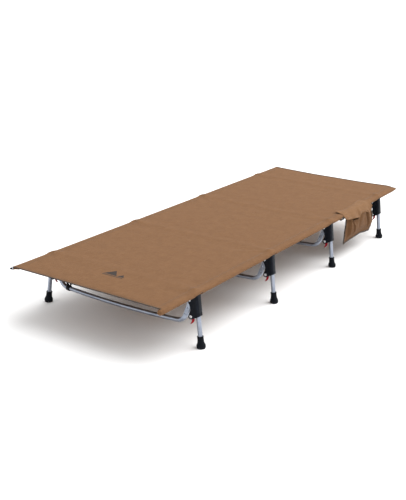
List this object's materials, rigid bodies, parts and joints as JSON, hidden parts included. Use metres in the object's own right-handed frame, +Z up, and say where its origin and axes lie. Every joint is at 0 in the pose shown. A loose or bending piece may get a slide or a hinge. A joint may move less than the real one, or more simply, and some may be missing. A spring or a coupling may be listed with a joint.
{
  "type": "folding cot",
  "caption": "Low folding camp cot: a fabric bed stretched between two sectional poles on bowed leg sets with folding levers, and a saddle pocket.",
  "frame": {"origin": "on the floor, at the middle of the cot's footprint", "axes": "+Z up; +Y along the bed towards the end with the saddle pocket; +X towards the pocket's side"},
  "size_m": [0.7192, 1.918, 0.2018],
  "materials": {
    "canvas": "matt woven polyester canvas, tan",
    "aluminium": "satin anodised",
    "pole_alloy": "satin anodised",
    "plastic": "moulded nylon, fine grain",
    "rubber": "matt",
    "steel": "rivet, satin",
    "latch_red": "moulded, satin"
  },
  "bodies": {
    "root": {"bed_panel": "canvas", "sleeve_left": "canvas", "sleeve_right": "canvas", "pole_left_section_1": "pole_alloy", "pole_left_section_2": "pole_alloy", "pole_left_section_3": "pole_alloy", "pole_left_section_4": "pole_alloy", "pole_left_cap_head": "plastic", "pole_left_cap_foot": "plastic", "pole_right_section_1": "pole_alloy", "pole_right_section_2": "pole_alloy", "pole_right_section_3": "pole_alloy", "pole_right_section_4": "pole_alloy", "pole_right_cap_head": "plastic", "pole_right_cap_foot": "plastic", "saddle_pocket": "canvas", "cross_tube_1": "aluminium", "cross_tube_2": "aluminium", "cross_tube_3": "aluminium", "cross_tube_4": "aluminium"},
    "lever_1_left": {"hub_1_left": "plastic", "pivot_pin_1_left": "steel", "leg_tube_1_left": "aluminium", "foot_1_left": "rubber"},
    "release_1_left": {"latch_1_left": "latch_red"},
    "lever_1_right": {"hub_1_right": "plastic", "pivot_pin_1_right": "steel", "leg_tube_1_right": "aluminium", "foot_1_right": "rubber"},
    "release_1_right": {"latch_1_right": "latch_red"},
    "lever_2_left": {"hub_2_left": "plastic", "pivot_pin_2_left": "steel", "leg_tube_2_left": "aluminium", "foot_2_left": "rubber"},
    "release_2_left": {"latch_2_left": "latch_red"},
    "lever_2_right": {"hub_2_right": "plastic", "pivot_pin_2_right": "steel", "leg_tube_2_right": "aluminium", "foot_2_right": "rubber"},
    "release_2_right": {"latch_2_right": "latch_red"},
    "lever_3_left": {"hub_3_left": "plastic", "pivot_pin_3_left": "steel", "leg_tube_3_left": "aluminium", "foot_3_left": "rubber"},
    "release_3_left": {"latch_3_left": "latch_red"},
    "lever_3_right": {"hub_3_right": "plastic", "pivot_pin_3_right": "steel", "leg_tube_3_right": "aluminium", "foot_3_right": "rubber"},
    "release_3_right": {"latch_3_right": "latch_red"},
    "lever_4_left": {"hub_4_left": "plastic", "pivot_pin_4_left": "steel", "leg_tube_4_left": "aluminium", "foot_4_left": "rubber"},
    "release_4_left": {"latch_4_left": "latch_red"},
    "lever_4_right": {"hub_4_right": "plastic", "pivot_pin_4_right": "steel", "leg_tube_4_right": "aluminium", "foot_4_right": "rubber"},
    "release_4_right": {"latch_4_right": "latch_red"}
  },
  "joints": [
    {"name": "lever_1_left_fold", "type": "hinge", "parent": "root", "child": "lever_1_left", "pos_m": [-0.30087, -0.75, 0.16636], "axis": [0, -1, 0], "range_deg": [0, 25]},
    {"name": "latch_1_left_press", "type": "hinge", "parent": "lever_1_left", "child": "release_1_left", "pos_m": [-0.30828, -0.75, 0.10884], "axis": [0, 1, 0], "range_deg": [0, 16], "stiffness_Nm_per_rad": 0.03, "springref_deg": -5.73},
    {"name": "lever_1_right_fold", "type": "hinge", "parent": "root", "child": "lever_1_right", "pos_m": [0.30087, -0.75, 0.16636], "axis": [0, 1, 0], "range_deg": [0, 25]},
    {"name": "latch_1_right_press", "type": "hinge", "parent": "lever_1_right", "child": "release_1_right", "pos_m": [0.30828, -0.75, 0.10884], "axis": [0, -1, 0], "range_deg": [0, 16], "stiffness_Nm_per_rad": 0.03, "springref_deg": -5.73},
    {"name": "lever_2_left_fold", "type": "hinge", "parent": "root", "child": "lever_2_left", "pos_m": [-0.30087, -0.25, 0.16636], "axis": [0, -1, 0], "range_deg": [0, 25]},
    {"name": "latch_2_left_press", "type": "hinge", "parent": "lever_2_left", "child": "release_2_left", "pos_m": [-0.30828, -0.25, 0.10884], "axis": [0, 1, 0], "range_deg": [0, 16], "stiffness_Nm_per_rad": 0.03, "springref_deg": -5.73},
    {"name": "lever_2_right_fold", "type": "hinge", "parent": "root", "child": "lever_2_right", "pos_m": [0.30087, -0.25, 0.16636], "axis": [0, 1, 0], "range_deg": [0, 25]},
    {"name": "latch_2_right_press", "type": "hinge", "parent": "lever_2_right", "child": "release_2_right", "pos_m": [0.30828, -0.25, 0.10884], "axis": [0, -1, 0], "range_deg": [0, 16], "stiffness_Nm_per_rad": 0.03, "springref_deg": -5.73},
    {"name": "lever_3_left_fold", "type": "hinge", "parent": "root", "child": "lever_3_left", "pos_m": [-0.30087, 0.25, 0.16636], "axis": [0, -1, 0], "range_deg": [0, 25]},
    {"name": "latch_3_left_press", "type": "hinge", "parent": "lever_3_left", "child": "release_3_left", "pos_m": [-0.30828, 0.25, 0.10884], "axis": [0, 1, 0], "range_deg": [0, 16], "stiffness_Nm_per_rad": 0.03, "springref_deg": -5.73},
    {"name": "lever_3_right_fold", "type": "hinge", "parent": "root", "child": "lever_3_right", "pos_m": [0.30087, 0.25, 0.16636], "axis": [0, 1, 0], "range_deg": [0, 25]},
    {"name": "latch_3_right_press", "type": "hinge", "parent": "lever_3_right", "child": "release_3_right", "pos_m": [0.30828, 0.25, 0.10884], "axis": [0, -1, 0], "range_deg": [0, 16], "stiffness_Nm_per_rad": 0.03, "springref_deg": -5.73},
    {"name": "lever_4_left_fold", "type": "hinge", "parent": "root", "child": "lever_4_left", "pos_m": [-0.30087, 0.75, 0.16636], "axis": [0, -1, 0], "range_deg": [0, 25]},
    {"name": "latch_4_left_press", "type": "hinge", "parent": "lever_4_left", "child": "release_4_left", "pos_m": [-0.30828, 0.75, 0.10884], "axis": [0, 1, 0], "range_deg": [0, 16], "stiffness_Nm_per_rad": 0.03, "springref_deg": -5.73},
    {"name": "lever_4_right_fold", "type": "hinge", "parent": "root", "child": "lever_4_right", "pos_m": [0.30087, 0.75, 0.16636], "axis": [0, 1, 0], "range_deg": [0, 25]},
    {"name": "latch_4_right_press", "type": "hinge", "parent": "lever_4_right", "child": "release_4_right", "pos_m": [0.30828, 0.75, 0.10884], "axis": [0, -1, 0], "range_deg": [0, 16], "stiffness_Nm_per_rad": 0.03, "springref_deg": -5.73}
  ]
}
